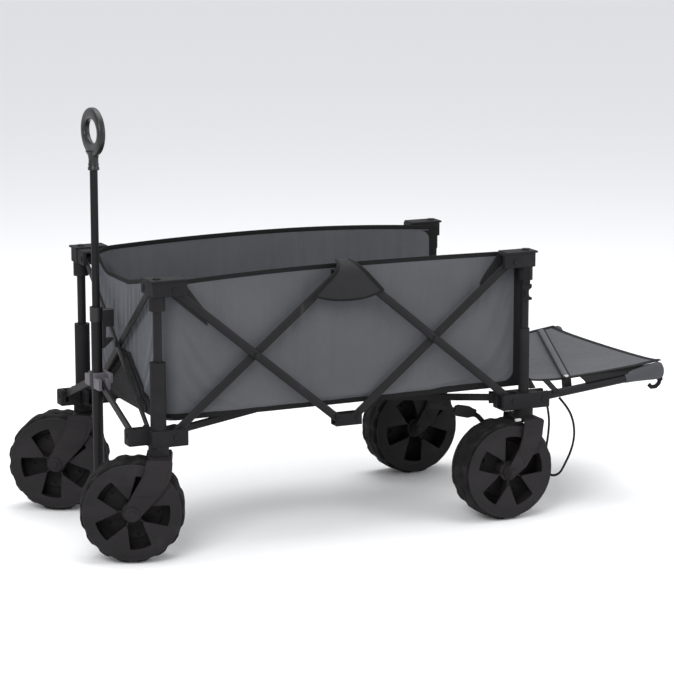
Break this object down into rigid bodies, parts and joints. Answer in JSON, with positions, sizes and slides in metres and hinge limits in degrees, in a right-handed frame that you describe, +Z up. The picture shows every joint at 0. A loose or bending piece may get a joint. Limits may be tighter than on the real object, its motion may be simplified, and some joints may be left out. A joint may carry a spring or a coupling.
{
  "type": "folding wagon",
  "caption": "Folding utility wagon with a fabric basket on crossed bars, wide swivelling front wheels, a telescoping pull handle and a drop-down tailgate.",
  "frame": {"origin": "on the ground, midway between the four corner posts", "axes": "+X to the rear (tailgate), -Y to the near side in the usual view, +Z up"},
  "size_m": [1.474, 0.6784, 0.992],
  "materials": {
    "bracket_plastic": "moulded black plastic, light grain",
    "hub_plastic": "moulded black plastic",
    "black_tube": "black powder coat on steel tube",
    "handle_tube": "satin black powder coat",
    "yoke_plastic": "mid grey moulded plastic",
    "fork_plastic": "black moulded nylon fork",
    "tyre": "soft wide tyre, dull black",
    "wheel_plastic": "black moulded wheel",
    "grip_plastic": "soft black grip",
    "webbing": "black woven webbing",
    "liner_fabric": "grey woven polyester with black binding"
  },
  "bodies": {
    "corner_near_front": {"lower_corner_near_front": "bracket_plastic"},
    "bar_2_near": {"side_bar_2_near": "black_tube"},
    "top_middle_near": {"top_hub_near": "hub_plastic", "side_panel_near": "liner_fabric"},
    "bar_3_near": {"side_bar_3_near": "black_tube"},
    "corner_near_rear": {"lower_corner_near_rear": "bracket_plastic", "fork_near_rear": "fork_plastic"},
    "bar_1_near": {"side_bar_1_near": "black_tube"},
    "top_near_front": {"upper_corner_near_front": "bracket_plastic", "post_tube_near_front": "black_tube", "front_panel": "liner_fabric"},
    "bottom_middle_near": {"bottom_hub_near": "hub_plastic", "floor_panel": "liner_fabric"},
    "bar_4_near": {"side_bar_4_near": "black_tube"},
    "top_near_rear": {"upper_corner_near_rear": "bracket_plastic", "post_tube_near_rear": "black_tube"},
    "corner_far_front": {"lower_corner_far_front": "bracket_plastic"},
    "bar_2_far": {"side_bar_2_far": "black_tube"},
    "top_middle_far": {"top_hub_far": "hub_plastic", "side_panel_far": "liner_fabric"},
    "bar_3_far": {"side_bar_3_far": "black_tube"},
    "corner_far_rear": {"lower_corner_far_rear": "bracket_plastic", "fork_far_rear": "fork_plastic"},
    "bar_1_far": {"side_bar_1_far": "black_tube"},
    "top_far_front": {"upper_corner_far_front": "bracket_plastic", "post_tube_far_front": "black_tube"},
    "bottom_middle_far": {"bottom_hub_far": "hub_plastic"},
    "bar_4_far": {"side_bar_4_far": "black_tube"},
    "top_far_rear": {"upper_corner_far_rear": "bracket_plastic", "post_tube_far_rear": "black_tube"},
    "front_bar_1": {"front_bar_1": "black_tube"},
    "front_bar_2": {"front_bar_2": "black_tube"},
    "floor_bar_near_front": {"floor_bar_near_front": "black_tube"},
    "floor_bar_near_rear": {"floor_bar_near_rear": "black_tube"},
    "floor_bar_far_front": {"floor_bar_far_front": "black_tube"},
    "floor_bar_far_rear": {"floor_bar_far_rear": "black_tube"},
    "link_near": {"handle_link_near": "black_tube"},
    "link_far": {"handle_link_far": "black_tube"},
    "yoke": {"handle_yoke": "yoke_plastic"},
    "mast": {"handle_outer_tube": "handle_tube", "handle_collar": "grip_plastic", "keeper_clip": "grip_plastic"},
    "handle": {"handle_inner_tube": "handle_tube", "handle_grip": "grip_plastic"},
    "caster_near": {"fork_near_front": "fork_plastic"},
    "wheel_near_front": {"tyre_near_front": "tyre", "wheel_near_front": "wheel_plastic"},
    "wheel_near_rear": {"tyre_near_rear": "tyre", "wheel_near_rear": "wheel_plastic"},
    "caster_far": {"fork_far_front": "fork_plastic"},
    "wheel_far_front": {"tyre_far_front": "tyre", "wheel_far_front": "wheel_plastic"},
    "wheel_far_rear": {"tyre_far_rear": "tyre", "wheel_far_rear": "wheel_plastic"},
    "tail_near": {"tail_tube_near": "black_tube", "tail_panel": "liner_fabric", "pull_loop": "webbing"},
    "tail_far": {"tail_tube_far": "black_tube"},
    "brace_near": {"tail_brace_near": "black_tube"},
    "brace_far": {"tail_brace_far": "black_tube"}
  },
  "joints": [
    {"name": "fold", "type": "hinge", "parent": "corner_near_front", "child": "bar_2_near", "pos_m": [-0.426, -0.2505, 0.28], "axis": [0, -1, 0], "range_deg": [0, 35.76], "deforming": ["side_panel_near", "side_panel_far", "front_panel", "floor_panel", "tail_panel"]},
    {"name": "top_middle_near_level", "type": "hinge", "parent": "bar_2_near", "child": "top_middle_near", "pos_m": [-0.023, -0.2505, 0.612], "axis": [0, -1, 0], "range_deg": [-35.77, 0]},
    {"name": "bar_3_near_swing", "type": "hinge", "parent": "top_middle_near", "child": "bar_3_near", "pos_m": [0.023, -0.2505, 0.612], "axis": [0, -1, 0], "range_deg": [-35.77, 0]},
    {"name": "corner_near_rear_level", "type": "hinge", "parent": "bar_3_near", "child": "corner_near_rear", "pos_m": [0.426, -0.2505, 0.28], "axis": [0, -1, 0], "range_deg": [0, 35.77]},
    {"name": "bar_1_near_cross", "type": "hinge", "parent": "bar_2_near", "child": "bar_1_near", "pos_m": [-0.2245, -0.2505, 0.446], "axis": [0, -1, 0], "range_deg": [-71.53, 0]},
    {"name": "top_near_front_level", "type": "hinge", "parent": "bar_1_near", "child": "top_near_front", "pos_m": [-0.426, -0.2505, 0.612], "axis": [0, -1, 0], "range_deg": [0, 35.77]},
    {"name": "bottom_middle_near_level", "type": "hinge", "parent": "bar_1_near", "child": "bottom_middle_near", "pos_m": [-0.023, -0.2505, 0.28], "axis": [0, -1, 0], "range_deg": [0, 35.77]},
    {"name": "bar_4_near_cross", "type": "hinge", "parent": "bar_3_near", "child": "bar_4_near", "pos_m": [0.2245, -0.2505, 0.446], "axis": [0, -1, 0], "range_deg": [0, 71.53]},
    {"name": "top_near_rear_level", "type": "hinge", "parent": "bar_4_near", "child": "top_near_rear", "pos_m": [0.426, -0.2505, 0.612], "axis": [0, -1, 0], "range_deg": [-35.77, 0]},
    {"name": "bar_2_far_swing", "type": "hinge", "parent": "corner_far_front", "child": "bar_2_far", "pos_m": [-0.426, 0.2505, 0.28], "axis": [0, -1, 0], "range_deg": [0, 35.77]},
    {"name": "top_middle_far_level", "type": "hinge", "parent": "bar_2_far", "child": "top_middle_far", "pos_m": [-0.023, 0.2505, 0.612], "axis": [0, -1, 0], "range_deg": [-35.77, 0]},
    {"name": "bar_3_far_swing", "type": "hinge", "parent": "top_middle_far", "child": "bar_3_far", "pos_m": [0.023, 0.2505, 0.612], "axis": [0, -1, 0], "range_deg": [-35.77, 0]},
    {"name": "corner_far_rear_level", "type": "hinge", "parent": "bar_3_far", "child": "corner_far_rear", "pos_m": [0.426, 0.2505, 0.28], "axis": [0, -1, 0], "range_deg": [0, 35.77]},
    {"name": "bar_1_far_cross", "type": "hinge", "parent": "bar_2_far", "child": "bar_1_far", "pos_m": [-0.2245, 0.2505, 0.446], "axis": [0, -1, 0], "range_deg": [-71.53, 0]},
    {"name": "top_far_front_level", "type": "hinge", "parent": "bar_1_far", "child": "top_far_front", "pos_m": [-0.426, 0.2505, 0.612], "axis": [0, -1, 0], "range_deg": [0, 35.77]},
    {"name": "bottom_middle_far_level", "type": "hinge", "parent": "bar_1_far", "child": "bottom_middle_far", "pos_m": [-0.023, 0.2505, 0.28], "axis": [0, -1, 0], "range_deg": [0, 35.77]},
    {"name": "bar_4_far_cross", "type": "hinge", "parent": "bar_3_far", "child": "bar_4_far", "pos_m": [0.2245, 0.2505, 0.446], "axis": [0, -1, 0], "range_deg": [0, 71.53]},
    {"name": "top_far_rear_level", "type": "hinge", "parent": "bar_4_far", "child": "top_far_rear", "pos_m": [0.426, 0.2505, 0.612], "axis": [0, -1, 0], "range_deg": [-35.77, 0]},
    {"name": "front_bar_1_swing", "type": "hinge", "parent": "corner_near_front", "child": "front_bar_1", "pos_m": [-0.465, -0.2015, 0.28], "axis": [1, 0, 0], "range_deg": [0, 35.77]},
    {"name": "front_bar_2_cross", "type": "hinge", "parent": "front_bar_1", "child": "front_bar_2", "pos_m": [-0.461, 0, 0.446], "axis": [1, 0, 0], "range_deg": [-71.53, 0]},
    {"name": "corner_far_front_level", "type": "hinge", "parent": "front_bar_2", "child": "corner_far_front", "pos_m": [-0.457, 0.2015, 0.28], "axis": [1, 0, 0], "range_deg": [0, 35.77]},
    {"name": "floor_bar_near_front_lift", "type": "hinge", "parent": "corner_near_front", "child": "floor_bar_near_front", "pos_m": [-0.403, -0.2015, 0.28], "axis": [0.4472, -0.8944, 0], "range_deg": [0, 82.26]},
    {"name": "floor_bar_near_rear_lift", "type": "hinge", "parent": "corner_near_rear", "child": "floor_bar_near_rear", "pos_m": [0.403, -0.2015, 0.28], "axis": [0.4472, 0.8944, 0], "range_deg": [0, 82.26]},
    {"name": "floor_bar_far_front_lift", "type": "hinge", "parent": "corner_far_front", "child": "floor_bar_far_front", "pos_m": [-0.403, 0.2015, 0.28], "axis": [-0.4472, -0.8944, 0], "range_deg": [0, 82.26]},
    {"name": "floor_bar_far_rear_lift", "type": "hinge", "parent": "corner_far_rear", "child": "floor_bar_far_rear", "pos_m": [0.403, 0.2015, 0.28], "axis": [-0.4472, 0.8944, 0], "range_deg": [0, 82.26]},
    {"name": "link_near_swing", "type": "hinge", "parent": "corner_near_front", "child": "link_near", "pos_m": [-0.514, -0.225, 0.286], "axis": [1, 0, 0], "range_deg": [0, 51.62]},
    {"name": "link_far_swing", "type": "hinge", "parent": "corner_far_front", "child": "link_far", "pos_m": [-0.514, 0.225, 0.286], "axis": [1, 0, 0], "range_deg": [-51.62, 0]},
    {"name": "yoke_level", "type": "hinge", "parent": "link_near", "child": "yoke", "pos_m": [-0.514, -0.026, 0.362], "axis": [1, 0, 0], "range_deg": [-51.62, 0]},
    {"name": "handle_tilt", "type": "hinge", "parent": "yoke", "child": "mast", "pos_m": [-0.514, 0, 0.362], "axis": [0, -1, 0], "range_deg": [0, 40]},
    {"name": "handle_telescope", "type": "slide", "parent": "mast", "child": "handle", "axis": [0, 0, 1], "range_m": [-0.31, 0]},
    {"name": "caster_near_swivel", "type": "hinge", "parent": "corner_near_front", "child": "caster_near", "pos_m": [-0.461, -0.245, 0.2], "axis": [0, 0, 1], "continuous": true},
    {"name": "wheel_near_front_spin", "type": "hinge", "parent": "caster_near", "child": "wheel_near_front", "pos_m": [-0.51663, -0.22252, 0.118], "axis": [0.3746, 0.9272, 0], "continuous": true},
    {"name": "wheel_near_rear_spin", "type": "hinge", "parent": "corner_near_rear", "child": "wheel_near_rear", "pos_m": [0.405, -0.245, 0.118], "axis": [0, 1, 0], "continuous": true},
    {"name": "caster_far_swivel", "type": "hinge", "parent": "corner_far_front", "child": "caster_far", "pos_m": [-0.461, 0.245, 0.2], "axis": [0, 0, 1], "continuous": true},
    {"name": "wheel_far_front_spin", "type": "hinge", "parent": "caster_far", "child": "wheel_far_front", "pos_m": [-0.51188, 0.2768, 0.118], "axis": [0.5299, 0.848, 0], "continuous": true},
    {"name": "wheel_far_rear_spin", "type": "hinge", "parent": "corner_far_rear", "child": "wheel_far_rear", "pos_m": [0.405, 0.245, 0.118], "axis": [0, 1, 0], "continuous": true},
    {"name": "tailgate", "type": "hinge", "parent": "corner_near_rear", "child": "tail_near", "pos_m": [0.505, -0.245, 0.28], "axis": [0, -1, 0], "range_deg": [0, 84]},
    {"name": "tailgate_far", "type": "hinge", "parent": "corner_far_rear", "child": "tail_far", "pos_m": [0.505, 0.245, 0.28], "axis": [0, -1, 0], "range_deg": [0, 84.01]},
    {"name": "brace_near_swing", "type": "hinge", "parent": "tail_near", "child": "brace_near", "pos_m": [0.58934, -0.219, 0.33113], "axis": [-0.0993, 0, 0.9951], "range_deg": [-49.59, 0]},
    {"name": "brace_far_swing", "type": "hinge", "parent": "tail_far", "child": "brace_far", "pos_m": [0.59212, 0.219, 0.30327], "axis": [-0.0993, 0, 0.9951], "range_deg": [0, 49.59]}
  ],
  "couplings": [
    {"joint": "top_middle_near_level", "follows": "fold", "ratio": -1},
    {"joint": "bar_3_near_swing", "follows": "fold", "ratio": -1},
    {"joint": "corner_near_rear_level", "follows": "fold", "ratio": 1},
    {"joint": "bar_1_near_cross", "follows": "fold", "ratio": -2},
    {"joint": "top_near_front_level", "follows": "fold", "ratio": 1},
    {"joint": "bottom_middle_near_level", "follows": "fold", "ratio": 1},
    {"joint": "bar_4_near_cross", "follows": "fold", "ratio": 2},
    {"joint": "top_near_rear_level", "follows": "fold", "ratio": -1},
    {"joint": "bar_2_far_swing", "follows": "fold", "ratio": 1},
    {"joint": "top_middle_far_level", "follows": "fold", "ratio": -1},
    {"joint": "bar_3_far_swing", "follows": "fold", "ratio": -1},
    {"joint": "corner_far_rear_level", "follows": "fold", "ratio": 1},
    {"joint": "bar_1_far_cross", "follows": "fold", "ratio": -2},
    {"joint": "top_far_front_level", "follows": "fold", "ratio": 1},
    {"joint": "bottom_middle_far_level", "follows": "fold", "ratio": 1},
    {"joint": "bar_4_far_cross", "follows": "fold", "ratio": 2},
    {"joint": "top_far_rear_level", "follows": "fold", "ratio": -1},
    {"joint": "front_bar_1_swing", "follows": "fold", "ratio": 1},
    {"joint": "front_bar_2_cross", "follows": "fold", "ratio": -2},
    {"joint": "corner_far_front_level", "follows": "fold", "ratio": 1},
    {"joint": "floor_bar_near_front_lift", "follows": "fold", "ratio": 2.3},
    {"joint": "floor_bar_near_rear_lift", "follows": "fold", "ratio": 2.3},
    {"joint": "floor_bar_far_front_lift", "follows": "fold", "ratio": 2.3},
    {"joint": "floor_bar_far_rear_lift", "follows": "fold", "ratio": 2.3},
    {"joint": "link_near_swing", "follows": "fold", "ratio": 1.4433},
    {"joint": "link_far_swing", "follows": "fold", "ratio": -1.4433},
    {"joint": "yoke_level", "follows": "fold", "ratio": -1.4433},
    {"joint": "tailgate_far", "follows": "tailgate", "ratio": 1},
    {"joint": "brace_near_swing", "follows": "fold", "ratio": -1.3864},
    {"joint": "brace_far_swing", "follows": "fold", "ratio": 1.3864}
  ]
}
